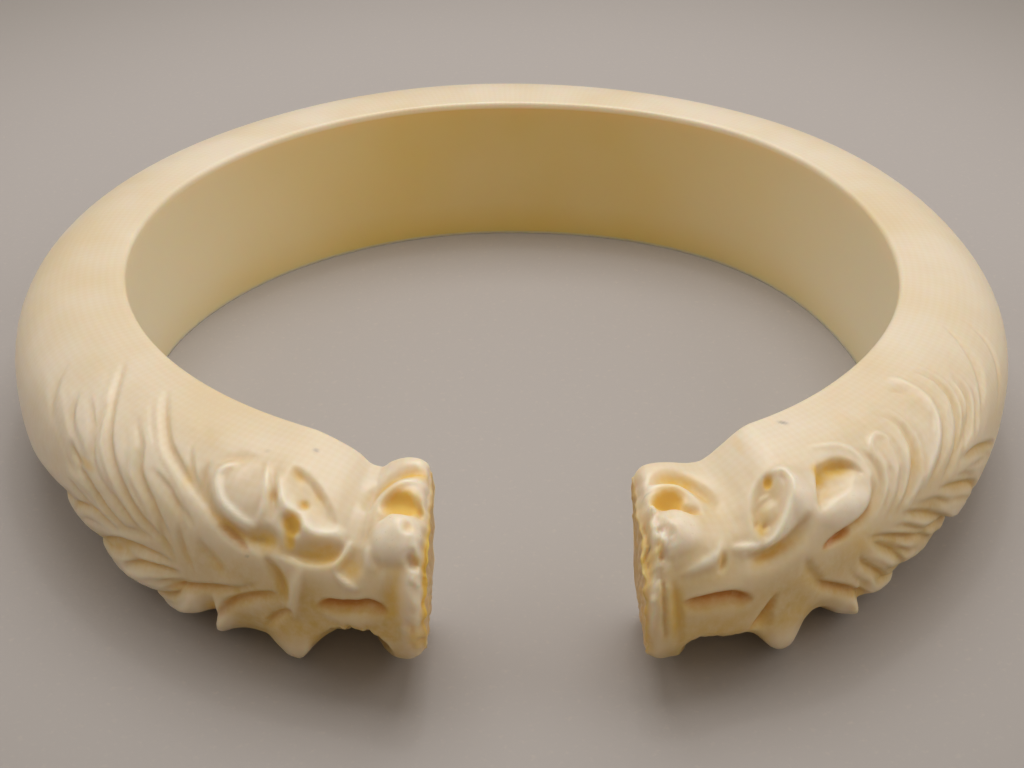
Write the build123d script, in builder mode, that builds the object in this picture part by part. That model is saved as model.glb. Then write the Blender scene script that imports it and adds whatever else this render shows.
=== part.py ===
from build123d import *
import os
from collections import namedtuple
import numpy as np

# An open bangle carved from one piece of ivory. The band is plain and polished behind the wrist.
# In front, two beasts' heads face each other across the gap, with manes swept back along the band.
# Millimetres. Origin on the table under the middle of the wrist opening, +Z up, the gap towards -Y.

# Driving dimensions
inner_diameter = 60.0
band_height = 13.5
front_thickness = 9.0
back_thickness = 11.5
end_gap = 12.9
carved_length = 40.0
fullness = 2.6          # 2 is an ellipse, more is squarer shoulders
throat_slope = 38.0     # degrees, the cut under each jaw
heel_height = 4.0       # how far up each cut end its bottom edge is rounded
heel_depth = 1.9
facet_counts = dict(head=33, mane=27, back=14, face=28, under=8)

inner_radius = inner_diameter / 2
middle_radius = inner_radius + front_thickness * 2 / 3
half_turn_length = np.pi * middle_radius

# Rows of the tables. Along is percent of carved_length from the end of the band, round is percent of
# the way round the outside from the inner top edge to the inner bottom edge, and heights, depths and
# widths are percent of band_height.
Stroke = namedtuple("Stroke", "along0 round0 along1 round1 along2 round2 width depth lean")
Lobe = namedtuple("Lobe", "along round half_along half_round turn height crispness")

# Degrees from the gap, how far the wrist side is out of round as a share of inner_radius, and how
# far the thickness has grown from front_thickness (0) to back_thickness (1)
left_sections = [(0, 1.010, 0), (22, 1.000, 0.04), (40, 1.000, 0), (60, 1.000, -0.07),
                 (90, 0.997, -0.04), (135, 0.987, 0.32), (180, 0.993, 1)]
right_sections = [(0, 1.010, 0), (22, 1.007, 0.04), (40, 0.997, 0), (60, 0.993, -0.07),
                  (90, 0.987, -0.04), (135, 1.020, 0.29), (180, 0.993, 1)]

# How far the top of each head dips below the band
left_crown = [(0, 11), (1.5, 6), (4, 3.8), (6.5, 4.8), (9, 8), (11.2, 12), (13.5, 11.4), (16, 7),
              (20, 3.2), (25, 0.4), (28, 0), (60, 0)]
right_crown = [(0, 15.5), (2, 10.5), (5, 9.2), (8, 10.2), (12.5, 13), (15, 13.5), (17.5, 11.5),
               (20, 8), (25, 1.5), (28, 0), (60, 0)]

# How high the cut under each chin and throat reaches up the outside
left_throat = [(0, 36), (1.5, 29), (3.6, 26), (5, 29), (6.5, 37), (8, 41), (11, 42), (14, 40),
               (16.5, 35), (18.2, 26), (20, 6), (22, 0), (140, 0)]
right_throat = [(0, 26), (1.5, 18), (3, 16), (4.5, 20), (6.3, 31), (9, 35), (14, 32), (18, 30),
                (19.5, 25), (21.5, 5), (23.5, 0), (140, 0)]

# How far the tips of the locks stand out along the lower edge, dropping sharply behind each tip
left_tips = [(0, -2), (5, -2), (10, 0), (17.5, 0), (20.2, 6), (22.2, 4.5), (25, -1), (28, -1), (31, 0),
             (33, 4), (34.8, 6.5), (35.8, 5.5), (37.2, -4), (39.5, -3), (42.5, 6), (46, 7), (49, 4.5),
             (51, 3), (52.2, -2), (54.5, 3), (57, 4), (61, 5), (65, 3), (69, 0), (70.5, -3),
             (80, -1), (88, -3), (90, -5), (97, -3), (110, 0), (140, 0)]
right_tips = [(0, -2), (6, -2), (10, 0), (18.5, 0), (20.5, 3), (22.5, 7.5), (24.5, 5.5), (27, 0), (30, -1),
              (33, -1), (35, 1), (37, 6.5), (39, 7), (40.5, 1.5), (42, 0), (45, 1.5), (48, 3),
              (51, 1), (52.5, -3), (54, -1), (58, -3), (60, -1), (64, 0), (67, -1), (69, -2),
              (73, -1.5), (76, -5), (78, -2), (80, 1), (90, 0), (100, 0), (140, 0)]

# Carved lines through three places: a cut has a positive depth, a ridge a negative one, and a lean
# of 1 makes the left side of the line steep and its right side a long slope
left_strokes = [
    # worn strip along the cut end, nostril and nose
    (0, 12, 0.9, 24, 0.3, 38, 5, 5, 0),
    (0, 4, 6, 8, 10.5, 17, 9, 6, 0),
    (1, 8.5, 5, 12.5, 8.5, 19, 4, -2.5, 0),
    (12.5, 5, 14, 14, 12, 24, 8, -1.5, 0),
    (5.5, 36, 8.5, 33, 10.5, 27, 5, -4, 0),
    (12.5, 27, 14, 33, 17, 39, 4, -4, 0),
    (9, 38, 13, 36.8, 16, 39, 4, -2.5, 0),
    # eye: the crease above it and the lid that sweeps from the brow to the cheek
    (26, 15.5, 21.5, 18.5, 18, 24, 6, 4.5, 0),
    (28, 18.5, 25, 24.5, 20, 27.8, 6, -5, 0),
    (20, 28, 17, 30, 13, 26.5, 6, -3.5, 0),
    (14.5, 29, 16.5, 35, 22, 37.5, 8, 6.5, -0.5),
    (21, 37.6, 26, 38.8, 29, 36.5, 7, 4, 0),
    # ear: its rim, the fold behind it and the slit under it
    (38, 20, 38.5, 27, 31, 33, 5, -3, 0),
    (43, 26.5, 41, 31, 36, 35, 5, -3, 0),
    (26, 36, 31, 37.3, 38, 31, 7, 6, -0.6),
    (29, 38.5, 31, 37.6, 34, 36.2, 3, 6, 0),
    # mouth and lips
    (5, 46, 10.5, 41.5, 17.5, 48, 3.5, 7, -0.4),
    (7, 48.5, 11.5, 45.5, 16, 50, 6, -2, 0),
    (4.3, 33, 4.6, 45, 5, 58, 7, 3, 0),
    # jaw bar and the groove behind it
    (20, 39, 20.3, 47, 20, 55, 7, -4, 0),
    (22.5, 40, 22.4, 47, 24, 52, 6, 5, 0.6),
    (21, 49, 25.5, 57, 29.5, 68, 7, 7, -0.3),
    # upper mane, each lock lapping the next
    (38, 34, 46.5, 25.5, 55, 17, 7, 5.5, 0.6),
    (38, 39, 45, 32, 53, 28.5, 7, 4.5, 0.6),
    (42, 28, 43.5, 25, 47, 20, 5, 2.5, 0.5),
    (45, 46.5, 57, 34, 67, 20, 7, 4, 0.5),
    (57, 26, 60, 22, 65, 18, 5, 2.5, 0.5),
    (50, 47, 59, 39.5, 68, 28, 6, 3.5, 0.5),
    (66, 30, 70, 22, 77, 10.5, 7, 4, 0.6),
    (70, 28, 74, 25, 79, 21, 6, 3, 0.5),
    (45, 49, 52, 43.5, 57, 38.5, 6, 4.5, 0.5),
    (58, 45, 65, 38.2, 75, 37, 5, 6, -0.5),
    (72, 36, 77, 31, 86, 22, 8, 2.5, 0.5),
    (64, 48, 71, 44, 80, 36, 8, 2, 0.4),
    (82, 30, 87, 20, 92, 12, 8, 1.2, 0.4),
    # lower mane, sweeping down and back to the tips
    (23, 50, 32, 55.5, 38, 67, 6, 6, -0.5),
    (31, 52.5, 42, 56, 52, 68, 6, 6, -0.5),
    (40, 56, 46, 57.5, 53, 61, 5, 3, -0.4),
    (42, 53, 57, 52, 70, 63, 6, 6, -0.5),
    (60, 50, 67, 53, 75, 61, 6, 3, -0.4)]
right_strokes = [
    # worn strip along the cut end, nostril and nose
    (0, 9, 1.1, 24, 0.4, 42, 6, 6, 0),
    (3, 8, 9.5, 7, 14, 16, 10, 6, 0),
    (2, 12.5, 7, 12, 12, 18, 4, -2.5, 0),
    (5, 35, 10, 32.5, 13.5, 26.5, 5, -3, 0),
    (11, 37, 12.5, 34, 13.3, 31, 4, 4, 0),
    (14, 30.5, 17.5, 32, 20, 35, 4, -3, 0),
    # eye: the thin rim behind it and the hollow under it
    (26, 18.5, 27.6, 24, 24.5, 30, 4, -5, 0),
    (25, 30, 22.5, 33, 20, 35.2, 4.5, -4, 0),
    (17.5, 35, 21.5, 38, 30, 35.5, 8, 6, -0.3),
    # ear
    (34, 14, 41, 19, 43.5, 28, 4, -1.5, 0),
    (33.6, 20.5, 32.8, 23.5, 31.3, 27, 3, 3, -0.6),
    (30.4, 40.2, 33, 39, 38, 38.5, 4, 6, 0),
    (36, 38.8, 40, 37.4, 43.5, 31, 6, 3, 0),
    # mouth and lips
    (6, 42.6, 12.5, 41.5, 18.5, 47, 4.5, 8, -0.5),
    (4.8, 34, 5, 46, 5.5, 57, 7, 3.5, 0),
    (1.8, 34, 1.9, 46, 3, 58, 5, -2, 0),
    # jaw bar and the groove behind it
    (26, 41, 26.5, 47, 31, 53.5, 8, 5, 0.3),
    (28, 55, 26, 60, 29, 68, 6, 7, 0),
    # upper mane, sweeping round the ear and lapping
    (43, 38, 51, 33, 53.5, 22, 6, 4, 0.6),
    (45, 40, 55, 32, 57, 17, 6, 4.5, 0.5),
    (46, 26, 49, 21.8, 51.5, 25, 4, -2, 0),
    (44, 42, 59, 37, 66, 26, 6, 4.5, 0.6),
    (66, 26, 68.5, 22, 69.5, 16, 6, 3, 0.5),
    (56, 42, 67, 34, 76, 20, 6, 5.5, 0.6),
    (62, 18.5, 66, 16, 69, 11, 5, 2.5, 0.4),
    (72, 36, 78, 27, 84, 14, 7, 3.5, 0.5),
    (80, 36, 88, 27, 95, 20, 8, 2.5, 0.5),
    (76, 12, 80, 9, 85, 6, 5, 1.0, 0),
    # lower mane, fanning down and back to the tips
    (27, 51.5, 35, 55.4, 42, 67, 6, 6.5, -0.5),
    (34, 50, 41, 54, 47, 64, 5, 4.5, -0.5),
    (38, 48, 46, 53, 52.5, 67, 6, 6, -0.5),
    (43, 45, 52, 50, 59, 66, 6, 4.5, -0.5),
    (48, 43.5, 58, 50.5, 68, 66, 6, 5.5, -0.5),
    (56, 43, 67, 48.5, 76, 64, 6, 5.5, -0.5),
    (65, 40, 74, 43, 86, 53, 6, 5, -0.5)]

# Domes have a positive height, hollows a negative one, and more crispness means steeper sides
left_lobes = [
    (5, 18, 4, 4.4, 0, -10, 3),             # nostril
    (1, 19.5, 1.6, 3.5, 0, -3, 2),
    (5, 26, 5.5, 7, 0, 8, 2.6),             # bulb of the nose
    (3.3, 25.2, 1.4, 2, 0, -3.5, 2),
    (2.3, 32, 1.8, 2.6, 0, -4, 2),
    (12, 33.5, 2.8, 5.5, 0, -6, 2.4),       # cheek hollow
    (20.5, 23, 4.5, 5.5, 0, -3.5, 2.5),     # eye socket and its pits
    (24, 17.2, 2, 2.6, 0, -4, 2),
    (20.8, 24.6, 1.5, 2, 0, -5, 2),
    (22, 30.8, 1.9, 3.2, 0, -10, 3),
    (22.4, 34.5, 1, 3, 0, -4, 2),
    (17.5, 33, 3.6, 3.6, 0, -3, 2),
    (32.8, 27, 6.8, 7.6, 14, 6, 3),         # ear
    (26.6, 23, 1.2, 1.8, 0, -2.5, 2),
    (36, 17.5, 5, 3, 0, -2, 2),
    (2.2, 45, 3, 12, 0, 3, 2.6),            # front of the lips
    (29.5, 70, 5, 8, 0, -10, 2.4),          # undercut behind the jaw
    (68, 42, 6, 3.2, 0, 3, 2.4),            # mane
    (65.5, 37.8, 1.6, 2, 0, -4, 2)]
right_lobes = [
    (6.3, 15.8, 4.8, 3.6, 0, -11, 3),       # nostril
    (7.5, 25.5, 8, 8, 0, 8, 3),             # bulb of the nose and its chipped tip
    (2.8, 27.5, 1.4, 2.2, 0, -5, 2),
    (2.8, 30.5, 1.3, 2.2, 0, -5, 2),
    (21.6, 26.5, 3.6, 9, 0, -8, 3),         # eye socket, pit and eyeball
    (23.7, 20, 1.5, 2.2, 0, -6, 2.4),
    (22, 27.5, 2.2, 3.2, 0, 3.5, 2),
    (19.7, 28.5, 1.2, 1.6, 0, -2, 2),
    (36.8, 25, 5.4, 5, 0, -9, 3),           # scoop of the ear and its lobe
    (34, 22, 1.6, 2, 0, -3, 2),
    (36, 31, 7, 5, 0, 5, 3),
    (12, 42.8, 5.5, 2.2, 0, -4, 2.4),       # mouth
    (30.8, 69, 6.6, 9, 0, -10, 2.4),        # undercut behind the jaw
    (19.5, 56, 2, 3, 0, -3, 2)]

Side = namedtuple("Side", "hand sections crown throat tips strokes lobes half_gap recede")
sides = [
    Side(-1, left_sections, left_crown, left_throat, left_tips, left_strokes, left_lobes,
         end_gap * 0.478, (0.035, 0.02)),
    Side(1, right_sections, right_crown, right_throat, right_tips, right_strokes, right_lobes,
         end_gap * 0.500, (0.0, 0.06))]


def smooth(table, at, column=1):
    """Smooth curve through one column of a table."""
    rows = np.array(table, float)
    xs, ys = rows[:, 0], rows[:, column]
    slopes = np.diff(ys) / np.diff(xs)
    lean = np.r_[0, (slopes[1:] + slopes[:-1]) / 2, 0]
    flat = np.r_[True, slopes[1:] * slopes[:-1] <= 0, True]
    lean[flat] = 0
    at = np.clip(at, xs[0], xs[-1])
    k = np.clip(np.searchsorted(xs, at) - 1, 0, len(xs) - 2)
    h = xs[k + 1] - xs[k]
    u = (at - xs[k]) / h
    return ((2 * u**3 - 3 * u**2 + 1) * ys[k] + (u**3 - 2 * u**2 + u) * h * lean[k]
            + (-2 * u**3 + 3 * u**2) * ys[k + 1] + (u**3 - u**2) * h * lean[k + 1])


def ease(low, high, at):
    """0 below low, 1 above high, smooth between."""
    u = np.clip((at - low) / (high - low), 0, 1)
    return u * u * (3 - 2 * u)


def outside_profile():
    """Depth and height shares of the D section, and how far round it each place is."""
    turn = np.linspace(np.pi / 2, -np.pi / 2, 2001)
    depth = np.abs(np.cos(turn)) ** (2 / fullness)
    height = np.sign(turn) * np.abs(np.sin(turn)) ** (2 / fullness)
    steps = np.hypot(np.diff(front_thickness * depth), np.diff(band_height / 2 * height))
    length = np.r_[0, np.cumsum(steps)]
    return depth, height, length / length[-1], length[-1]


profile_depth, profile_height, profile_round, girth = outside_profile()


def stroke_height(along, round_, row):
    """Height in mm that one carved line adds at each place."""
    s = Stroke(*row)
    scale = np.array([carved_length, girth]) / 100
    spare = 3 * s.width * band_height / 100 / scale
    low = np.minimum(np.minimum((s.along0, s.round0), (s.along1, s.round1)), (s.along2, s.round2)) - spare
    high = np.maximum(np.maximum((s.along0, s.round0), (s.along1, s.round1)), (s.along2, s.round2)) + spare
    inside = (along > low[0]) & (along < high[0]) & (round_ > low[1]) & (round_ < high[1])
    height = np.zeros(along.shape)
    along, round_ = along[inside], round_[inside]
    start, via, end = (np.array(p) * scale for p in
                       ((s.along0, s.round0), (s.along1, s.round1), (s.along2, s.round2)))
    pull = 2 * via - (start + end) / 2
    u = np.linspace(0, 1, 13)[:, None]
    path = (1 - u) ** 2 * start + 2 * u * (1 - u) * pull + u * u * end
    place = np.stack([along, round_], -1) * scale
    width, depth = s.width * band_height / 100, s.depth * band_height / 100
    nearest = np.full(along.shape, np.inf)
    side = np.zeros(along.shape)
    travel = np.zeros(along.shape)
    for i in range(len(path) - 1):
        run = path[i + 1] - path[i]
        share = np.clip(((place - path[i]) @ run) / (run @ run), 0, 1)
        off = place - path[i] - share[..., None] * run
        far = np.hypot(off[..., 0], off[..., 1])
        hit = far < nearest
        nearest[hit] = far[hit]
        side[hit] = (far * np.sign(run[0] * off[..., 1] - run[1] * off[..., 0]))[hit]
        travel[hit] = ((i + share) / (len(path) - 1))[hit]
    reach = width / 2 * np.where(side > 0, 1 + 0.8 * s.lean, 1 - 0.8 * s.lean)
    fade = 4 * travel * (1 - travel)
    reach *= 0.5 + 0.5 * fade
    height[inside] = -depth * fade**1.2 * np.exp(-(side / reach) ** 2)
    return height


def lobe_height(along, round_, row):
    """Height in mm that one dome or hollow adds at each place."""
    b = Lobe(*row)
    x = (along - b.along) * carved_length / 100
    y = (round_ - b.round) * girth / 100
    cos, sin = np.cos(np.radians(b.turn)), np.sin(np.radians(b.turn))
    across = (x * cos + y * sin) / (b.half_along * carved_length / 100)
    down = (-x * sin + y * cos) / (b.half_round * girth / 100)
    near = np.clip(np.hypot(across, down), 0, 1)
    return b.height * band_height / 100 * (1 - near**b.crispness) ** 1.5


def relief(side, along, round_):
    """Height in mm of the carving above the plain band."""
    slant = along + 1.2 * np.clip(70 - round_, 0, 22) * ease(20, 30, along)
    height = (smooth(side.tips, slant) * ease(48, 63, round_) * (1 - ease(73, 92, round_))
              * band_height / 100)
    height -= 0.033 * band_height * np.exp(-(along * carved_length / 3.4 / band_height) ** 2)
    for row in side.strokes:
        height += stroke_height(along, round_, row)
    for row in side.lobes:
        height += lobe_height(along, round_, row)
    return height * ease(0, 4, round_) * (1 - ease(88, 97, round_))


def band_sections(side, share, round_):
    """Radius and height of places on the outside, share 0 at the end of the band to 1 at the back."""
    share, round_ = np.meshgrid(share, round_, indexing="ij")
    along = share * half_turn_length / carved_length * 100
    inside = inner_radius * smooth(side.sections, share * 180, 1)
    thick = front_thickness + (back_thickness - front_thickness) * smooth(side.sections, share * 180, 2)
    top = band_height * (1 - smooth(side.crown, along) / 100)

    def section(at):
        depth = np.interp(at, profile_round, profile_depth)
        height = np.interp(at, profile_round, profile_height)
        return inside + thick * depth, top / 2 * (1 + height)

    at = round_ / 100
    radius, z = section(at)
    step = 0.002
    r0, z0 = section(np.clip(at - step, 0, 1))
    r1, z1 = section(np.clip(at + step, 0, 1))
    slope = np.hypot(r1 - r0, z1 - z0)
    lift = relief(side, along, round_)
    radius = radius - (z1 - z0) / slope * lift
    z = z + (r1 - r0) / slope * lift

    reach = smooth(side.throat, along) * band_height / 100
    cut = reach - (inside + front_thickness - radius) * np.tan(np.radians(throat_slope))
    soft = 0.02 * band_height
    raised = np.maximum(z, cut) + soft * np.log1p(np.exp(-np.abs(z - cut) / soft))
    z = np.where(reach > soft / 2, np.maximum(z, raised), z)
    return share, np.maximum(radius, inside), np.clip(z, 0, band_height), inside, thick


def band_surface(side, share, round_):
    """Places on the outside."""
    return place(side, *band_sections(side, share, round_))


def cut_end(side, round_, toward):
    """Places on the cut end, toward 0 at its edge to 1 at its middle, then the middle itself."""
    share, radius, z, inside, thick = (v[0] for v in band_sections(side, [0], round_))
    radius = np.r_[radius, inside[0]]
    z = np.r_[z, z[0] / 2]
    mid_radius, mid_z = inside[0] + front_thickness * 0.4, z[0] / 2
    rows = [place(side, 0, radius + (mid_radius - radius) * at, z + (mid_z - z) * at, inside[0], thick[0])
            for at in toward]
    return rows, place(side, 0, mid_radius, mid_z, inside[0], thick[0])


def wrist_surface(side, share, rise):
    """Places on the flat wrist side, rise 0 at the bottom edge to 1 at the top edge."""
    share, rise = np.meshgrid(share, rise, indexing="ij")
    along = share * half_turn_length / carved_length * 100
    inside = inner_radius * smooth(side.sections, share * 180, 1)
    top = band_height * (1 - smooth(side.crown, along) / 100)
    return place(side, share, inside, top * rise, inside, front_thickness)


def place(side, share, radius, z, inside, thick):
    """Turn section places into the round, with the cut end of the band flat across the gap."""
    out, down = side.recede
    half = side.half_gap + end_gap * (out * (radius - inside) / thick + down * (1 - z / band_height))
    half = half + heel_depth * np.clip(1 - z / heel_height, 0, 1) ** 2
    turn = (1 - share) * np.arcsin(half / radius) + share * np.pi
    return np.stack([side.hand * radius * np.sin(turn), -radius * np.cos(turn), z], -1)


def facet_rows():
    """Shares along one side and percents round it where the facets' corners lie."""
    head_end = 0.5 * carved_length / half_turn_length
    mane_end = carved_length / half_turn_length
    along = np.r_[np.linspace(0, head_end, facet_counts["head"] + 1),
                  np.linspace(head_end, mane_end, facet_counts["mane"] + 1)[1:],
                  np.linspace(mane_end, 1, facet_counts["back"] + 1)[1:]]
    round_ = np.r_[np.linspace(0, 68, facet_counts["face"] + 1),
                   np.linspace(68, 100, facet_counts["under"] + 1)[1:]]
    return along, round_


def facets():
    """Corner triples of the whole closed skin."""
    along, round_ = facet_rows()
    loops = []
    for side in sides:
        outside = band_surface(side, along, round_)
        wrist = wrist_surface(side, along, [0.5])
        loops.append(np.concatenate([outside, wrist], axis=1))
    left, right = loops
    ring = np.round(np.concatenate([left, right[-2::-1]]), 3)
    count, corners = ring.shape[:2]
    skin = []
    for i in range(count - 1):
        for j in range(corners):
            k = (j + 1) % corners
            a, b, c, d = ring[i, j], ring[i + 1, j], ring[i + 1, k], ring[i, k]
            if np.sum((a - c) ** 2) <= np.sum((b - d) ** 2):
                skin += [(a, b, c), (a, c, d)]
            else:
                skin += [(a, b, d), (b, c, d)]
    for side, end, flip in ((sides[0], ring[0], False), (sides[1], ring[-1], True)):
        rows, hub = cut_end(side, round_, [0.4])
        inner, hub = np.round(rows[0], 3), np.round(hub, 3)
        for j in range(corners):
            k = (j + 1) % corners
            fan = [(end[j], end[k], inner[k]), (end[j], inner[k], inner[j]), (inner[j], inner[k], hub)]
            skin += [face[::-1] if flip else face for face in fan]
    return skin


def closed_solid(skin):
    """One solid from the corner triples."""
    faces = []
    for corners in skin:
        points = [Vector(*(float(v) for v in corner)) for corner in corners]
        faces.append(Face(Wire.make_polygon(points, close=True)))
    return Solid(Shell(faces))


os.makedirs("parts", exist_ok=True)

bangle_skin = facets()
bangle_solid = closed_solid(bangle_skin)

with BuildPart() as carved_bangle:
    add(bangle_solid)

carved_bangle.part.label = "carved_bangle"
export_step(carved_bangle.part, "parts/carved_bangle.step")
print("facets", len(bangle_skin), "volume", round(carved_bangle.part.volume, 1), "mm3")
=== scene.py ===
import math

import bpy
import numpy as np
from mathutils import Matrix, Vector


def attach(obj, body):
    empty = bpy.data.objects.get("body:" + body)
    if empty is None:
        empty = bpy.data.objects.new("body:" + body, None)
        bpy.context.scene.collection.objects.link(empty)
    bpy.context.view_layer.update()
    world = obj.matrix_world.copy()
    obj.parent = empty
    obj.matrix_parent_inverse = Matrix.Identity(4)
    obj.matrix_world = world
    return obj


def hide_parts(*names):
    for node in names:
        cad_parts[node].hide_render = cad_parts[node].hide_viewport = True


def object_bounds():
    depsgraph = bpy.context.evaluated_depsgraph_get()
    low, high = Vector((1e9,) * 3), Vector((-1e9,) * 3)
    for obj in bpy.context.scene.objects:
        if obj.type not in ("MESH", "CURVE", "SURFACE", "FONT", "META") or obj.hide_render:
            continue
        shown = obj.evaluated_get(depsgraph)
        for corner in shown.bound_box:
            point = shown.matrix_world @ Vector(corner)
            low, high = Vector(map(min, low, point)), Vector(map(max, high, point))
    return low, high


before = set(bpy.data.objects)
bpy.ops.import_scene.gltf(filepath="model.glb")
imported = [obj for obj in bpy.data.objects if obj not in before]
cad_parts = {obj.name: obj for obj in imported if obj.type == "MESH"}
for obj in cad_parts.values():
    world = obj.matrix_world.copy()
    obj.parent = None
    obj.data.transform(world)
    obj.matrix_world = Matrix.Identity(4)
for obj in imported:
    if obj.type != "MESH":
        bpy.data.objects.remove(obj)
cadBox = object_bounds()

# An open ivory bangle. The band is plain behind the wrist, and its two ends are beasts' heads with
# manes swept back. Sizes are in mm and are scaled to the scene's metres at the end.
mm = 0.001

# Every size of the bangle and its carving, in mm where no other unit is named
form = {
    # the plain band
    "innerRadius": 30.0,
    "height": 13.5,
    "frontThickness": 9.0,
    "backThickness": 11.5,
    "fullness": 2.6,        # 2 is an ellipse, more is squarer shoulders
    "middleRadius": 36.0,   # where lengths along the band are measured
    "edgeRounding": 0.35,   # worn edge between the wrist side and the outside
    "footRounding": 0.04,
    # the carved ends
    "carvedLength": 40.0,   # from each cut end back along the band
    "endGap": 12.9,
    "throatSlope": 38.0,    # degrees, the cut under each jaw
    "throatSoftness": 0.02,     # share of the height over which that cut is rounded into the side
    "heelHeight": 4.0,      # how far up each cut end its bottom edge is rounded
    "heelDepth": 1.9,
    "rimDrop": 0.4455,      # how far the outside falls away at the cut end, and over what length
    "rimReach": 0.459,
    "chipDepth": 0.17,      # how unevenly the cut ends have flaked, and how far back that reaches
    "chipReach": 0.9,
    "sawMarks": 0.05,       # how rough the face of each cut end is
    "tipSlant": 1.2,        # how much the tips of the locks sweep back as they rise
    # how handling and the knife have left the surface
    "wear": 0.08,           # radius that the cuts have been smoothed to
    "hollowReach": 0.8,     # how far round a place its hollow is judged, and how deep one holds all the dirt
    "hollowDepth": 0.3,
    "ridgeReach": 0.9,      # the same for a ridge, and how high one is rubbed bare and painted lighter as a painted highlight
    "ridgeHeight": 0.2,
    "toolMarks": ((1.3, 0.035), (0.5, 0.012)),      # spacing and height
    "strandSize": 0.55,     # fine strands of the mane, across and along
    "strandLength": 9.0,
    "strandHeight": 0.05,
    "strandSlope": 0.42,    # up and back above the middle of the mane, down and back below it
    "strandOff": 1.1,       # from each lock of the mane to the strand beside it
    "strandStart": 37,      # percent along where these begin, and how deep a lock has to be for one
    "strandNeeds": 2.5,
    "strandWidth": 2.6,     # percent, like the widths in the tables
    "strandShare": 0.3,     # depth as a share of the lock's own
    # how strongly dirt, red dirt and bare ridges with their painted highlight show, and the change from the
    # upper side to the lower
    "dirtShow": (0.3, 0.35),
    "redShow": 0.22,
    "redFrom": 0.6,         # only in hollows deeper than this share of hollowDepth
    "bareAndHighlightShow": (0.8, -0.35),
    # the grid that the carving is worked out on
    "cell": 0.08,
    "mapEnd": 112,          # percent of the carved length, past the last cut
    "seed": 7,
    # how many columns and rows the mesh has
    "columnEnds": (0.5, 1.06),      # where head and mane columns end, in carved lengths
    "rowSplit": 74,         # percent round the outside where the face rows end
    "headColumns": 150,
    "maneColumns": 108,
    "backColumns": 34,
    "edgeRows": 4,
    "faceRows": 118,
    "underRows": 19,
    "wristRows": 8,
    "endRings": 14,
}

# In all the tables, along is in percent of the carved length from the cut end, around is in percent of
# the way over the outside from the top of the wrist side to its bottom, and heights, widths and depths
# are in percent of the band's height.

# Degrees from the gap, how far the wrist side is out of round as a share of innerRadius, and how
# far the thickness has grown from frontThickness (0) to backThickness (1)
leftSections = [(0, 1.010, 0), (22, 1.000, 0.04), (40, 1.000, 0), (60, 1.000, -0.07), (90, 0.997, -0.04),
                (135, 0.987, 0.32), (180, 0.993, 1)]
rightSections = [(0, 1.010, 0), (22, 1.007, 0.04), (40, 0.997, 0), (60, 0.993, -0.07), (90, 0.987, -0.04),
                 (135, 1.020, 0.29), (180, 0.993, 1)]

# How far the top of each head dips below the band
leftCrown = [(0, 11), (1.5, 6), (4, 3.8), (6.5, 4.8), (9, 8), (11.2, 12), (13.5, 11.4), (16, 7),
             (20, 3.2), (25, 0.4), (28, 0), (60, 0)]
rightCrown = [(0, 15.5), (2, 10.5), (5, 9.2), (8, 10.2), (12.5, 13), (15, 13.5), (17.5, 11.5), (20, 8),
              (25, 1.5), (28, 0), (60, 0)]

# How high the cut under each chin and throat reaches up the outside
leftThroat = [(0, 36), (1.5, 29), (3.6, 26), (5, 29), (6.5, 37), (8, 41), (11, 42), (14, 40), (16.5, 35),
              (18.2, 26), (20, 6), (22, 0), (140, 0)]
rightThroat = [(0, 26), (1.5, 18), (3, 16), (4.5, 20), (6.3, 31), (9, 35), (14, 32), (18, 30), (19.5, 25),
               (21.5, 5), (23.5, 0), (140, 0)]

# How far the tips of the locks stand out along the lower edge, dropping sharply behind each tip
leftTips = [(0, -2), (5, -2), (10, 0), (17.2, 0), (19.2, 7), (20.6, 7), (24, 4), (27.5, 0), (30.5, 0.5),
            (33, 3.5), (34.6, 7), (35.6, 6), (36.6, -3), (38, -2), (41, 3), (44, 6), (46, 7), (49, 4.5),
            (51, 3), (52.2, -2), (54.5, 3), (57, 4), (61, 5), (65, 3), (69, 0), (70.5, -3), (80, -1),
            (88, -3), (90, -5), (97, -3), (110, 0), (140, 0)]
rightTips = [(0, -2), (6, -2), (10, 0), (18, 0), (20, 4), (22, 7.5), (24, 7), (26.5, 3), (28.5, -1.5),
             (30.5, -3.5), (33, -1), (36, 4), (38.6, 7), (39.8, 5), (41, 0), (45, 1.5), (48, 3), (51, 1),
             (52.5, -3), (54, -1), (58, -3), (60, -1), (64, 0), (67, -1), (69, -2), (73, -1.5), (76, -5),
             (78, -2), (80, 1), (90, 0), (100, 0), (140, 0)]

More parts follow.
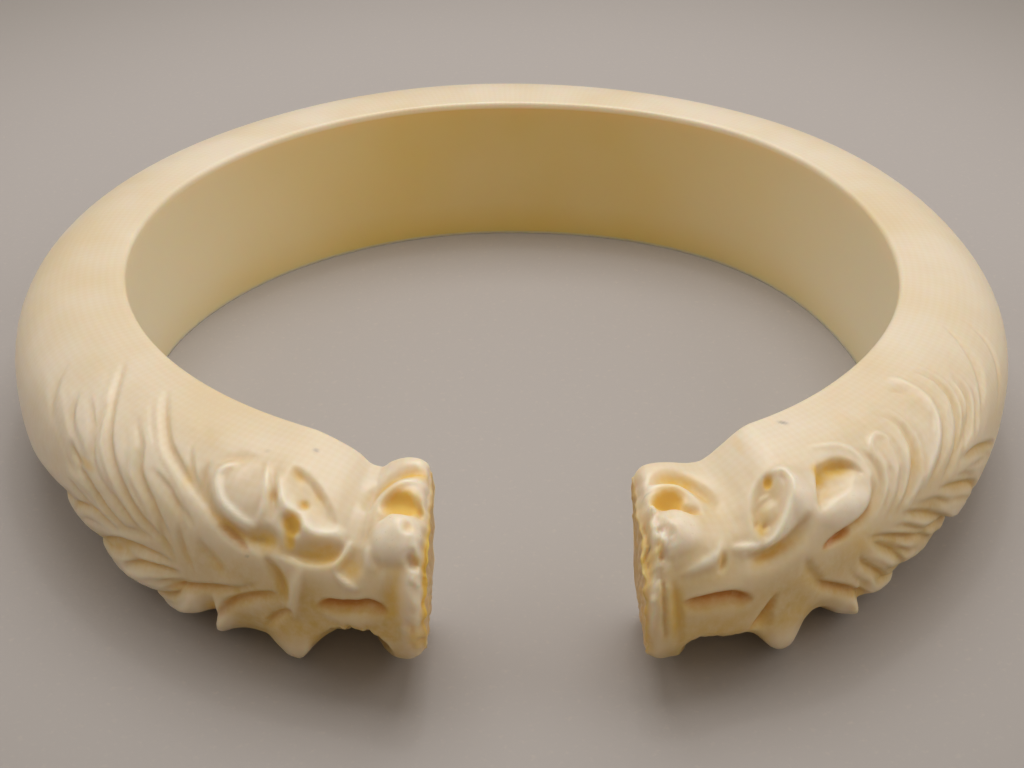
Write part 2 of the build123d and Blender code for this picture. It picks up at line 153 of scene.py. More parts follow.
# Carved lines: the places that each passes through, then width, depth, lean and bluntness. A cut has a
# positive depth and a ridge a negative one. A lean of 1 makes the side to the left of the way it runs
# steep and the other long, and more bluntness keeps it deep nearer to its ends.
leftCuts = [
    # groove along the cut end, arch over the nostril, and the rim between them
    ([(0.1, 18), (0.5, 28), (0.2, 38), (0.3, 50)], 2.4, 5, 0, 3),
    ([(0.3, 5), (4, 6), (7.4, 7.8), (10.2, 11), (11.4, 15), (11, 18.5)], 8, 3.8, 0, 4),
    ([(0.6, 9.8), (4.4, 11), (7.2, 13.4), (9, 16), (9.4, 19.5)], 3.6, -2.2, 0, 2),
    ([(2.2, 14), (1.7, 18), (1.9, 22.5)], 4, 3, 0, 2),
    # folds beside the nose, and the ridges round the cheek hollow
    ([(9.6, 21), (10, 26), (8.6, 32), (6.5, 36)], 6, 1.4, 0, 2),
    ([(10.6, 26), (9.6, 31), (8, 36)], 5, -2.5, 0, 2),
    ([(12.6, 27), (13.4, 31), (15, 36.5)], 3.6, -2.6, 0, 2),
    ([(14.8, 36), (12.6, 37.7), (10.2, 39.4)], 3.2, -2.4, 0, 2),
    # brow, the lid that sweeps from the brow to the cheek, and the scoop under it
    ([(26.4, 16.6), (22.5, 17.6), (19.6, 20.3), (17.4, 23)], 4.5, 1.3, 0.3, 2),
    ([(28, 19), (25.4, 24.8), (22.8, 27.6), (18.6, 30.2), (15.8, 28.6), (13.4, 24)], 6, -2.6, 0, 4),
    ([(13.4, 28), (15, 33), (18.3, 36.6), (24, 38)], 9, 4.6, -0.8, 3),
    # ear: its rim, the fold over it, the groove outside it and the slit under it
    ([(35.4, 19), (37.8, 23.5), (36.8, 28), (34.4, 31.2), (31, 33), (27.8, 33.6)], 5, -3, 0, 4),
    ([(31, 16.5), (29, 22), (27.8, 27.5), (28, 32.6)], 3.6, -1.7, 0, 3),
    ([(32.6, 16.2), (36.6, 18), (40.5, 21.5)], 5, 1.0, 0, 2),
    ([(41, 22), (40.4, 27), (38, 31.8), (34.6, 34.8), (30, 36.8), (25.4, 36.8)], 6, 3.6, 0, 4),
    ([(35.2, 35.6), (32.2, 37.5), (28.6, 39.8)], 3.4, 3, 0, 3),
    ([(28.6, 19), (26.9, 24.5), (25.8, 31.5)], 3.4, 2.2, 0.4, 2),
    # mouth, the groove along the lips and the jaw
    ([(5.6, 47.6), (7, 45), (8.8, 43.3), (11, 42.9), (13.4, 43.8), (15.4, 45.4), (17.2, 48.4)],
     5, 4.4, 0.85, 4),
    ([(5.8, 36), (5.4, 46), (4.6, 57)], 8, 1.6, 0, 2),
    ([(19.6, 39), (20.6, 47), (21, 56)], 6, -2.6, -0.4, 2),
    ([(26.5, 39.5), (24.2, 43), (22.7, 47.5), (22.6, 51)], 6, 4, 0.2, 2),
    ([(20.8, 51.6), (23.8, 55.2), (25.6, 58.8), (27, 63)], 3.4, 2.6, 0.3, 3),
    # upper mane, each lock lapping the next
    ([(37.8, 34), (42.6, 28.6), (46.4, 25.2), (50.6, 22), (54.6, 17.4), (62.4, 8.4)], 5, 3, 0.7, 2),
    ([(37.8, 33.4), (40.4, 29.7), (43.4, 25.4), (46.4, 19.4)], 4, 2.4, 0.6, 2),
    ([(40, 41), (42.8, 36), (46.2, 32), (51.6, 29.2)], 4, 1.8, 0.6, 2),
    ([(38.8, 39), (41.4, 36), (45, 33.4)], 3, 1.4, 0.4, 2),
    ([(42.4, 46), (45, 42), (48.2, 37.4), (53, 32), (56, 25.6), (61.4, 19.4)], 4.6, 3, 0.7, 2),
    ([(46.3, 46), (52.6, 40.8), (56.8, 36.4), (62.2, 30.4), (66.2, 24.4), (72.8, 15.4), (79.4, 9)],
     4.8, 3, 0.6, 2),
    ([(65, 31.6), (68.2, 26), (70.4, 21)], 3, 1.8, 0.5, 2),
    ([(60.4, 40.4), (64.4, 36), (67.6, 30), (71, 26.6), (76.4, 23)], 4, 2.2, 0.5, 2),
    ([(72.4, 35), (75.4, 30.4), (78.4, 25)], 3.6, 1.8, 0.5, 2),
    ([(54, 49.4), (59.3, 46.4), (64, 42.6), (68.6, 40)], 4.4, 3, 0.6, 3),
    ([(66.6, 39.4), (70, 38.2), (72.4, 36)], 3.4, 2.6, 0.5, 2),
    ([(43, 47.6), (48.6, 43.6), (53.6, 39.4), (58, 34)], 3.2, 1.6, 0.5, 2),
    ([(49, 48), (53.4, 44.6), (58, 41.4), (63, 38)], 3.4, 1.8, 0.5, 2),
    ([(56, 51.4), (61.5, 50.6), (67, 48.7), (72, 46)], 4.4, 2.2, 0.4, 2),
    ([(79, 38), (84, 31), (88, 22)], 8, 1.2, 0.4, 2),
    # lower mane, sweeping down and back to the tips
    ([(38.5, 40.5), (36, 44.5), (32, 49)], 6, 2, 0, 2),
    ([(47, 40), (45.6, 45.5), (42.5, 51.5)], 4, 1.6, 0.3, 2),
    ([(42.5, 38.5), (41.3, 45), (39, 52)], 4, 1.6, 0.3, 2),
    ([(23, 48.4), (26.5, 50.8), (29.5, 53.2), (32.2, 56.2), (34.4, 60), (36.4, 65)], 4.6, 3.6, 0.4, 4),
    ([(31, 51.4), (36.6, 54.4), (43, 58.8), (48.3, 63.6)], 4.2, 3.6, 0.4, 3),
    ([(42, 53.4), (46, 55.4), (52, 58.2), (58.4, 63.6)], 4.4, 4, 0.4, 3),
    ([(43, 51), (48, 51.8), (55.6, 54), (61, 58.4), (66, 63.6)], 4.4, 4, 0.4, 3),
    ([(62, 49.5), (68, 52.5), (72.5, 57), (75, 62)], 4.6, 3, 0.4, 2),
    ([(26.5, 47), (31, 51.5), (36.5, 54.5)], 3.5, 1.6, 0.3, 2),
    ([(40, 55), (45.5, 58.8), (50, 63)], 3.2, 2, 0.3, 2),
    ([(47, 46.5), (53, 48), (58.5, 51.5)], 3.4, 1.6, 0.3, 2),
    ([(52, 53), (57, 57), (60.5, 61)], 3.2, 1.8, 0.3, 2)]
rightCuts = [
    # groove along the cut end, arch over the nostril, and the rim between them
    ([(1.0, 16), (1.3, 26), (1.0, 36)], 3.2, 6, 0, 3),
    ([(2.3, 9), (5.8, 7.2), (9, 7.2), (12, 10.8), (13.7, 15.5), (13.6, 19.5)], 8.5, 4.5, 0, 3),
    ([(1.6, 9.8), (5, 10.6), (8.6, 12), (10.8, 15.4), (12, 19.5)], 3.6, -2.2, 0, 2),
    ([(1.8, 15.6), (4.7, 16.2), (7.8, 18.6), (11.4, 20.6)], 4, 2.6, -0.8, 3),
    # ridge from the nose to the lip, the crease behind it and the cheek ridge
    ([(13.4, 27), (12, 31.4), (8.8, 34), (5, 36.4)], 5, -2.2, 0, 2),
    ([(13.4, 30.4), (13, 33.5), (12, 36.4)], 2.6, 2.8, 0, 2),
    ([(14.2, 29.6), (17.2, 31.4), (20, 34.2)], 4.6, -2, 0.4, 2),
    # the thin rim round the eye and the hollow under it
    ([(24.8, 17.8), (27.2, 20.4), (26.9, 25), (24.4, 29.6), (21.8, 32.8), (19.4, 34.6)], 5, -3.2, -0.7, 4),
    ([(20.4, 23.6), (22.3, 22.6), (24.2, 23.2)], 2, -1.4, 0, 2),
    ([(16.6, 32.6), (20.4, 35.4), (24.6, 35.4), (29, 31.5)], 8.5, 5, 0.6, 3),
    # ear: the scoop with its sharp front edge, and the crease and slit under its lobe
    ([(33.4, 21.8), (37.4, 22.2), (40.4, 24.6), (41.8, 28.4)], 6, 3.2, 0.8, 4),
    ([(34.2, 20.4), (33.2, 23.8), (31.8, 28.4), (30.6, 32)], 7, 4.6, -0.95, 3),
    ([(43.2, 29), (42, 34), (39, 37.4), (35, 39), (30.6, 40.6)], 5, 3.2, -0.5, 3),
    ([(36.4, 39.2), (32.8, 39.8), (29.8, 41)], 3.4, 3.6, -0.4, 2),
    ([(34, 15), (41, 19.4), (44.3, 27)], 4, -1.2, 0, 2),
    ([(43, 21), (45.2, 27), (44, 33.5), (40.8, 39)], 6, 2.4, 0.4, 2),
    # mouth and the upright grooves along the lips
    ([(5.6, 43.6), (8.6, 43), (12, 42.1), (14.8, 42.6), (17.6, 46.4)], 7, 4.4, 0.85, 4),
    ([(4.4, 36), (5.1, 47), (5.3, 58)], 4.5, 2.2, 0, 3),
    ([(2.8, 33), (2.9, 45), (3.2, 57)], 2, 1.8, 0, 3),
    ([(1.3, 33), (0.9, 44), (0.8, 55)], 2.6, -2, 0, 3),
    # jaw bar and the creases on both sides of it
    ([(21.6, 48), (19.8, 53), (17, 57.4)], 4.5, 4, 0, 2),
    ([(26.6, 41.5), (27.8, 46.5), (30.4, 51.5)], 5.5, 2, 0.2, 2),
    # upper mane, sweeping round the ear and lapping
    ([(42, 42), (46.6, 37.6), (50, 32), (51.4, 26), (50.4, 20.6)], 4, 1.4, 0.4, 2),
    ([(44.5, 42), (50, 37.4), (53.8, 31.4), (55.4, 25.6), (55, 20), (52.6, 15.6)], 5, 3, 0.6, 2),
    ([(48, 41), (57, 35.4), (63.2, 29), (66.2, 22.5), (66.2, 16), (63, 10.5)], 6, -1.8, 0, 3),
    ([(58.5, 42), (63.6, 38.4), (67.2, 35), (70.2, 30.6), (72.4, 25), (72.6, 18.5), (70.6, 12.6)],
     5.5, 3.2, 0.6, 2),
    ([(64, 10), (66, 13), (66.4, 17)], 3.5, -1, 0, 2),
    ([(61, 13), (63.6, 16), (64.8, 20)], 4, 1.2, 0, 2),
    ([(69, 38), (73.8, 33.4), (76.8, 28.5), (77.5, 22)], 5.5, 2.8, 0.5, 2),
    ([(74, 38.8), (82, 32.4), (88, 23.4), (93, 13)], 5, 1.8, 0.5, 2),
    ([(84, 42), (90.4, 38), (96, 30), (98.6, 18)], 5, 1.2, 0.5, 2),
    ([(41.5, 40), (45.2, 35.4), (47.4, 30), (47.6, 24)], 3.5, 1, 0.5, 2),
    ([(54.5, 39.8), (60.4, 35.6), (64.6, 30.6), (67.4, 25.6), (68, 20)], 3, 1.6, 0.5, 2),
    ([(64, 40), (69.6, 35.6), (73.4, 30.4), (75.2, 24)], 3, 1.6, 0.5, 2),
    ([(72.4, 38.6), (77.6, 33.8), (80.6, 28.6)], 3.4, 1.4, 0.5, 2),
    ([(46.4, 25.6), (46.8, 22.2), (49.2, 20.8), (51, 23), (49.6, 25.4)], 2.4, -1.5, 0, 3),
    # lower mane, fanning down and back to the tips
    ([(28, 49), (31.4, 53), (35.6, 57.4), (39.6, 62.4), (42.6, 67)], 4.8, 4.6, 0.4, 3),
    ([(37.4, 46.6), (38.8, 51), (43.6, 58.6), (47.5, 66)], 4, 3.6, 0.2, 3),
    ([(39.8, 45), (46, 53), (51.6, 62.4)], 4, 3.8, 0.4, 3),
    ([(38.6, 43), (44, 46.6), (49, 50.6), (55.2, 56), (60, 62)], 4.4, 4, 0.4, 3),
    ([(40.5, 46.5), (45, 50), (49.5, 55.5), (53, 61)], 3.4, 2.4, 0.3, 2),
    ([(44, 43.5), (49, 47), (54, 52.5), (58, 58)], 3.2, 2.2, 0.3, 2),
    ([(53, 42.5), (58.5, 46.5), (64, 52.5)], 3.2, 2.4, 0.3, 2),
    ([(63, 42.6), (69, 47), (75, 53)], 3.2, 1.8, 0.3, 2),
    ([(73, 44.5), (79, 49), (85, 55)], 3.4, 1.4, 0.3, 2),
    ([(47, 41.4), (51.6, 45), (56.4, 49.4), (63, 56.5), (67.5, 64)], 4.4, 4, 0.4, 3),
    ([(57.5, 42.4), (62.5, 45.4), (69.4, 50.6), (75, 56), (79.5, 63)], 4.4, 4, 0.4, 3),
    ([(66.5, 40.4), (73, 42.8), (80, 47.4), (87, 53.4)], 4.4, 3.6, 0.4, 3),
    ([(50, 41), (55.5, 45.6), (61, 51.8)], 4, 2, 0.4, 2)]

# Domes and hollows: along, around, half sizes, turn, height and crispness, which steepens the sides
leftDomes = [
    (5.0, 18.0, 4.4, 3.9, -6, -4.8, 3.4),       # nostril
    (8, 21.2, 1.6, 2.4, 0, -2, 2),
    (5.4, 27.4, 5.4, 7.2, 0, 5.2, 3),           # bulb of the nose and its dimples
    (3.4, 25.2, 1.2, 2, 0, -2.2, 2),
    (2.4, 32, 1.4, 2.4, 0, -3, 2),
    (12, 32.6, 2.4, 5.2, 0, -2, 2),             # cheek hollow
    (20.6, 22, 6.4, 4.0, -28, -2.4, 2.4),       # eye hollow and its pits
    (24.3, 17.4, 2.0, 2.2, -28, -1, 2),
    (21.5, 24.3, 1.0, 1.5, 0, -1.8, 3),
    (22.3, 29.8, 2.2, 3.1, 0, -2.8, 3),
    (22.5, 33, 1.3, 3.2, 8, -1.6, 3),
    (32.8, 25.4, 5, 8, 14, 1.7, 2.6),           # ear, with its shallow middle
    (32, 24.4, 2.6, 5.4, 12, -0.9, 2),
    (27, 25.3, 1.0, 1.6, 0, -0.8, 2),
    (26.2, 36, 3.6, 4.4, 0, -3.4, 2),
    (2.2, 44, 3, 12, 0, 2.2, 2.2),              # front of the lips
    (11.5, 49, 6, 3.4, 0, 1, 2),
    (67, 44, 6, 3, 0, 1, 2.4)]                  # mane
rightDomes = [
    (5.6, 15.6, 3.4, 3.2, 0, -4.4, 3),          # nostril and the ledge beside it
    (9.4, 18.8, 2.4, 1.8, 20, -1.4, 2.4),
    (5.4, 24.6, 5.6, 7, 0, 3, 2.6),             # nose, its torn tip and its pits
    (8.5, 27, 9.5, 9.5, 0, 3.4, 1.8),
    (2.6, 17.4, 0.9, 1.6, 0, 3, 2),
    (2.7, 27.4, 0.5, 1.1, 0, -2.4, 3),
    (3.0, 30.6, 0.5, 0.8, 0, -1.6, 3),
    (22.4, 25.4, 3.2, 8.4, 22, -4, 3),          # eye hollow, pit and eyeball
    (24.3, 19.6, 1.0, 1.7, 0, -2, 3),
    (22.6, 26.4, 2.2, 3.4, 0, 2, 2),
    (19.9, 27.6, 0.5, 0.7, 0, -2, 2),
    (21.2, 29.3, 0.5, 0.7, 0, -2, 2),
    (28.4, 27, 2.6, 7, 15, 2, 2),
    (36, 25.8, 4.8, 5.4, -20, -3.6, 2.4),       # scoop of the ear and its lobe
    (35.8, 33.6, 6.8, 5.6, 6, 2.6, 2.2),
    (31.2, 71, 4.4, 9, 0, -6, 2),               # undercut behind the jaw
    (19.5, 56, 2, 3, 0, -3, 2)]

# Roughened patches: along, around, half sizes, grain size in mm and height in mm
leftRough = [(1.6, 51, 2.4, 9, 0.4, 0.3), (1.2, 33.5, 2.4, 9, 0.4, 0.34),
             (22.4, 34, 1.4, 3.4, 0.26, 0.06), (12, 51, 7, 2.2, 0.34, 0.06)]
rightRough = [(2.8, 25.6, 3.8, 10.6, 0.42, 0.5), (2.2, 38, 2.4, 7, 0.42, 0.3),
              (2.4, 50, 3.0, 9, 0.42, 0.10), (20.4, 30.4, 2.2, 3.2, 0.26, 0.12),
              (10, 18.4, 2, 1.6, 0.26, 0.06)]

# Where oil and dirt have yellowed the ivory: along, around, half sizes, turn and strength
leftYellowed = [(3.8, 7, 4.8, 3.4, 14, 0.85), (8.6, 10.4, 3, 3.4, 40, 0.7), (5, 16.8, 4.8, 5.4, 0, 1.3),
                (0, 32, 0.9, 22, 0, 1.4), (24.3, 17.2, 2.2, 1.9, -28, 0.5), (19.6, 20.4, 1.4, 3, 40, 0.3),
                (21.5, 24.3, 1.3, 1.9, 0, 0.75), (22.4, 30, 2.2, 3.5, 0, 1.5),
                (22.3, 34, 1.3, 3.4, 8, 1.0), (17, 33.5, 5, 5, 20, 0.6), (1.8, 53, 1.6, 7, 0, 0.7),
                (12, 34, 2.6, 5, 0, 0.5), (4.8, 43, 2.2, 11, 0, 0.5), (26.5, 36, 5, 3.4, 0, 0.6),
                (33.5, 35.6, 5, 2, -20, 0.5), (36, 19, 4, 2.4, 20, 0.12), (66.5, 38.3, 4, 1.6, 0, 0.5),
                (43.5, 28, 1.6, 4, 30, 0.4), (3.2, 25.2, 1.4, 1.8, 0, 0.45), (1.6, 32, 1.2, 3, 0, 0.5),
                (27, 25.4, 1.4, 2, 0, 0.3)]
rightYellowed = [(8.6, 7.6, 5.6, 4.0, 8, 0.75), (12.2, 13, 2.4, 4.5, -20, 0.35),
                 (5.8, 14.6, 4.4, 4.6, 0, 1.4), (9.4, 18.6, 2.4, 1.8, 20, 0.5),
                 (0.5, 27, 1.2, 18, 0, 0.4), (24.1, 19.9, 1.2, 2.0, 0, 1.4),
                 (20.6, 27, 2.2, 6.4, 15, 0.25), (20.6, 29.6, 1.4, 2.8, 0, 0.5),
                 (36.8, 23.2, 5.6, 3.6, 12, 0.8), (33.4, 23.8, 1.5, 4.2, -14, 0.7),
                 (2.7, 29, 1.2, 3.6, 0, 0.7), (4.8, 45, 2.2, 12, 0, 0.5), (2.4, 42, 0.8, 7, 0, 0.4),
                 (22.8, 5, 1.2, 5, 0, 0.25), (21.5, 36.4, 4.4, 2.4, 0, 0.6),
                 (12.6, 32.6, 0.9, 3, 10, 0.5), (38, 44, 6, 5, 0, 0.3), (55, 33, 2.4, 5, 20, 0.2),
                 (46, 12, 3, 5, 0, 0.12), (53.5, 31, 1.2, 4, 20, 0.25), (67, 36, 3, 3, 20, 0.15)]

# Painted shade, darker and warmer on the lower, down-facing side of the head and mane: along and strength
leftLowerShade = [(0, 0.6), (4, 0.8), (9, 1.0), (17, 0.9), (24, 0.9), (38, 0.65), (50, 0.5), (64, 0.4),
              (80, 0.3), (110, 0.1)]
rightLowerShade = [(0, 0.7), (4, 0.9), (10, 0.9), (18, 0.8), (26, 0.8), (40, 0.75), (55, 0.7), (72, 0.55),
               (90, 0.25), (110, 0.1)]

# Red-brown dirt in the deepest slits, as lines of the carving's own kind
leftReddened = [
    ([(5.6, 47.8), (7, 45.2), (8.8, 43.5), (11, 43.2), (13.4, 44), (15.4, 45.6), (17.2, 48.6)],
     5, 1.0, 0.5, 6),
    ([(35.4, 35.6), (32.2, 37.5), (28.4, 40)], 3.2, 0.6, 0, 3),
    ([(20.8, 52), (23.8, 55.6), (26, 60)], 3.4, 0.4, 0, 3),
    ([(24, 49.6), (29.5, 53.8), (32.2, 56.8), (34.4, 60.6), (36.4, 65)], 3.8, 0.5, 0, 4),
    ([(31, 52), (36.6, 55), (43, 59.2), (48.3, 64)], 3.2, 0.35, 0, 3),
    ([(28, 35.6), (31, 35.6), (34, 33.8)], 3, 0.3, 0, 2)]
rightReddened = [
    ([(5.8, 43.4), (9, 43), (12.2, 42.2), (15, 43), (17.6, 46.6)], 6.4, 1.1, 0.6, 5),
    ([(36.4, 39.4), (32.8, 40), (29.8, 41.2)], 4.2, 1.3, 0, 4),
    ([(42.4, 34.5), (39.6, 37.2), (36, 38.8)], 3, 0.4, 0, 3),
    ([(28, 49.6), (31.4, 53.6), (35.6, 58), (39.6, 63)], 4.5, 0.5, 0, 3),
    ([(17.4, 34.6), (20.6, 37), (25.6, 37.4)], 4, 0.3, 0, 3),
    ([(21.6, 48), (19.8, 53), (17, 57.4)], 5, 0.4, 0, 3),
    ([(44, 46.5), (49.5, 51), (54, 57)], 3.4, 0.35, 0, 2)]

# Small grey smudges
leftSmudged = [(23.5, 8, 0.9, 0.9, 0, 0.5), (32, 13.5, 0.8, 0.5, 0, 0.3), (29, 41, 0.3, 0.5, 0, 0.6)]
rightSmudged = [(34, 5, 1.6, 0.8, 35, 0.6), (1.3, 26, 0.35, 0.8, 0, 0.9), (2.2, 12, 1.6, 0.4, 0, 0.35)]

# Each side of the band. hand is -1 on the left, halfGap is the side's share of the gap, ragged how
# unevenly (in mm) the edge under the chin has broken, and recede how much further back the cut end lies
# at the outside and at the bottom, as shares of the gap.
sides = [
    dict(hand=-1, halfGap=0.471, ragged=0.09, recede=(0.035, 0.02), sections=leftSections,
         crown=leftCrown, throat=leftThroat, tips=leftTips, cuts=leftCuts, domes=leftDomes,
         rough=leftRough, yellowed=leftYellowed, reddened=leftReddened, smudged=leftSmudged,
         lowerShade=leftLowerShade),
    dict(hand=1, halfGap=0.493, ragged=0.03, recede=(0.0, 0.06), sections=rightSections,
         crown=rightCrown, throat=rightThroat, tips=rightTips, cuts=rightCuts, domes=rightDomes,
         rough=rightRough, yellowed=rightYellowed, reddened=rightReddened, smudged=rightSmudged,
         lowerShade=rightLowerShade)]

halfTurnLength = math.pi * form["middleRadius"]
random = np.random.default_rng(form["seed"])


# A smooth line through the rows of a table
def smoothCurve(table, at, column=1):
    rows = np.array(table, float)
    xs, ys = rows[:, 0], rows[:, column]
    slopes = np.diff(ys) / np.diff(xs)
    lean = np.r_[0, (slopes[1:] + slopes[:-1]) / 2, 0]
    lean[np.r_[True, slopes[1:] * slopes[:-1] <= 0, True]] = 0      # flat at each peak and dip
    at = np.clip(at, xs[0], xs[-1])
    k = np.clip(np.searchsorted(xs, at) - 1, 0, len(xs) - 2)
    h = xs[k + 1] - xs[k]
    u = (at - xs[k]) / h
    return ((2 * u**3 - 3 * u**2 + 1) * ys[k] + (u**3 - 2 * u**2 + u) * h * lean[k]
            + (-2 * u**3 + 3 * u**2) * ys[k + 1] + (u**3 - u**2) * h * lean[k + 1])


def ease(low, high, at):
    u = np.clip((at - low) / (high - low), 0, 1)
    return u * u * (3 - 2 * u)


# The D section: depth and height shares, and how far round it each place is
turn = np.linspace(np.pi / 2, -np.pi / 2, 2001)
profileDepth = np.abs(np.cos(turn)) ** (2 / form["fullness"])
profileHeight = np.sign(turn) * np.abs(np.sin(turn)) ** (2 / form["fullness"])
profileLength = np.r_[0, np.cumsum(np.hypot(np.diff(form["frontThickness"] * profileDepth),
                                            np.diff(form["height"] / 2 * profileHeight)))]
profileAround, girth = profileLength / profileLength[-1], profileLength[-1]


def smoothPath(places):
    ends = np.array([2 * np.array(places[0]) - places[1], *places, 2 * np.array(places[-1]) - places[-2]])
    u = np.linspace(0, 1, 7)[:-1, None]
    runs = [0.5 * (2 * b + (c - a) * u + (2 * a - 5 * b + 4 * c - d) * u**2 + (3 * b - a - 3 * c + d) * u**3)
            for a, b, c, d in zip(ends, ends[1:], ends[2:], ends[3:])]
    return np.concatenate(runs + [ends[-2:-1]])


# How far one carved line lowers or raises each place
def cutHeight(along, around, row):
    places, width, depth, lean, blunt = row
    width, depth = width * form["height"] / 100, depth * form["height"] / 100
    scale = np.array([form["carvedLength"], girth]) / 100
    path = smoothPath(places)
    low, high = path.min(0) - 3 * width / scale, path.max(0) + 3 * width / scale
    near = (along > low[0]) & (along < high[0]) & (around > low[1]) & (around < high[1])
    path = path * scale
    spots = np.stack([along[near], around[near]], -1) * scale
    closest, side, travel = np.full(len(spots), np.inf), np.zeros(len(spots)), np.zeros(len(spots))
    lengths = np.hypot(*np.diff(path, axis=0).T)
    gone = np.r_[0, np.cumsum(lengths)] / lengths.sum()
    for i, run in enumerate(np.diff(path, axis=0)):
        share = np.clip(((spots - path[i]) @ run) / (run @ run), 0, 1)
        off = spots - path[i] - share[:, None] * run
        far = np.hypot(off[:, 0], off[:, 1])
        hit = far < closest
        closest[hit] = far[hit]
        side[hit] = (far * np.sign(run[0] * off[:, 1] - run[1] * off[:, 0]))[hit]
        travel[hit] = (gone[i] + share * (gone[i + 1] - gone[i]))[hit]
    fade = 1 - np.clip(np.abs(2 * travel - 1), 0, 1) ** blunt       # thin and shallow at both ends
    reach = width / 2 * np.where(side > 0, 1 + 0.8 * lean, 1 - 0.8 * lean) * (0.4 + 0.6 * fade)
    height = np.zeros(along.shape)
    height[near] = -depth * fade**1.2 * np.exp(-(side / reach) ** 2)
    return height


# A fine strand that follows a cut, some way over on its gentler side
def strandBeside(row):
    scale = np.array([form["carvedLength"], girth]) / 100
    path = np.array(row[0]) * scale
    run = np.gradient(path, axis=0)
    path += form["strandOff"] * np.stack([-run[:, 1], run[:, 0]], -1) / np.hypot(*run.T)[:, None]
    return path / scale, form["strandWidth"], form["strandShare"] * row[2], 0, 2


# How much of a dome or a stain there is at each place
def spotShare(along, around, row, crispness=2.4):
    x = (along - row[0]) * form["carvedLength"] / 100
    y = (around - row[1]) * girth / 100
    cos, sin = math.cos(math.radians(row[4])), math.sin(math.radians(row[4]))
    across = (x * cos + y * sin) / (row[2] * form["carvedLength"] / 100)
    down = (-x * sin + y * cos) / (row[3] * girth / 100)
    return (1 - np.clip(np.hypot(across, down), 0, 1) ** crispness) ** 1.5


def blur(grid, radius):
    sigma = radius / form["cell"]
    reach = int(3 * sigma) + 1
    taps = np.exp(-0.5 * (np.arange(-reach, reach + 1) / sigma) ** 2)
    taps /= taps.sum()
    for axis in (0, 1):
        padded = np.pad(grid, [(reach, reach) if a == axis else (0, 0) for a in (0, 1)], mode="edge")
        grid = sum(tap * np.take(padded, range(i, i + grid.shape[axis]), axis) for i, tap in enumerate(taps))
    return grid


# Smooth random heights at places given in grains
def grain(xs, ys):
    xs, ys = xs - xs.min(), ys - ys.min()
    i, j = xs.astype(int), ys.astype(int)
    lattice = random.uniform(-1, 1, (i.max() + 2, j.max() + 2))
    u, v = ease(0, 1, xs - i), ease(0, 1, ys - j)
    return ((lattice[i, j] * (1 - u) + lattice[i + 1, j] * u) * (1 - v)
            + (lattice[i, j + 1] * (1 - u) + lattice[i + 1, j + 1] * u) * v)


# Every carved height and stain of one side, on an even grid that the mesh then reads
def carvingMaps(side):
    length = form["carvedLength"]
    xs = np.arange(0, form["mapEnd"] * length / 100, form["cell"]) / length * 100
    ys = np.linspace(0, 100, int(girth / form["cell"]))
    along, around = np.meshgrid(xs, ys, indexing="ij")
    x, y = along * length / 100, around * girth / 100
    slant = along + form["tipSlant"] * np.clip(70 - around, 0, 22) * ease(36, 46, along)
    start = 55 - 7 * ease(45, 60, along)
    height = (smoothCurve(side["tips"], slant) * ease(start, start + 13, around)
              * (1 - ease(73, 92, around)) * form["height"] / 100)
    height -= form["rimDrop"] * np.exp(-(x / form["rimReach"]) ** 2)
    for row in side["cuts"]:
        height += cutHeight(along, around, row)
        if min(row[0])[0] > form["strandStart"] and row[2] > form["strandNeeds"]:
            height += cutHeight(along, around, strandBeside(row))
    for row in side["domes"]:
        height += row[5] * form["height"] / 100 * spotShare(along, around, row, row[6])
    edges = ease(0, 4, around) * (1 - ease(88, 97, around))
    height = blur(height, form["wear"])
    hollow = (blur(height, form["hollowReach"]) - height) / form["hollowDepth"]
    ridge = (height - blur(height, form["ridgeReach"])) / form["ridgeHeight"]
    for row in side["rough"]:
        mask = spotShare(along, around, row[:4] + (0,), 3)
        flakes = np.round(1.6 * grain(x / row[4] / 1.6, y / row[4] / 2.4)) / 1.6
        height += mask * row[5] * (0.6 * flakes + 0.5 * grain(x / row[4], y / row[4]) - 0.35)

    # tool marks all over the carving, and fine strands that follow the mane up and back or down and back
    carved = ease(6, 16, around) * (1 - ease(70, 100, along))
    for spacing, rise in form["toolMarks"]:
        height += carved * rise * grain(x / spacing, y / spacing)
    lower = ease(38, 46, around)
    for share, slope in ((1 - lower, form["strandSlope"]), (lower, -form["strandSlope"])):
        across, travel = y + slope * x, x - slope * y
        strands = grain(across / form["strandSize"], travel / form["strandLength"])
        height += (share * carved * ease(38, 50, along) * ease(16, 26, around) * (1 - ease(56, 64, around))
                   * form["strandHeight"] * strands)
    maps = dict(height=height * edges)
    low = ease(30, 50, around)
    # painted shade: the lower side of the carving is painted darker and warmer, and a little of it reaches
    # over the whole carved top
    maps["lowerShade"] = smoothCurve(side["lowerShade"], along) * (0.2 * ease(8, 18, around) + 0.8 * low)
    maps["stain"] = (form["dirtShow"][0] + form["dirtShow"][1] * low) * np.clip(hollow, 0, 1)
    maps["redden"] = form["redShow"] * low * np.clip(hollow - form["redFrom"], 0, 1)
    maps["smudge"] = np.zeros(height.shape)
    for row in side["yellowed"]:
        maps["stain"] += row[5] * spotShare(along, around, row, 2)
    for places, width, strength, lean, blunt in side["reddened"]:
        unit = 100 / form["height"]
        maps["redden"] -= strength * cutHeight(along, around, (places, width, unit, lean, blunt))
    for row in side["smudged"]:
        maps["smudge"] += row[5] * spotShare(along, around, row, 2)
    # ridges rubbed bare by handling, also painted lighter as a painted highlight, more on the upper side
    maps["worn"] = (form["bareAndHighlightShow"][0] + form["bareAndHighlightShow"][1] * low) * np.clip(ridge, 0, 1)
    return maps


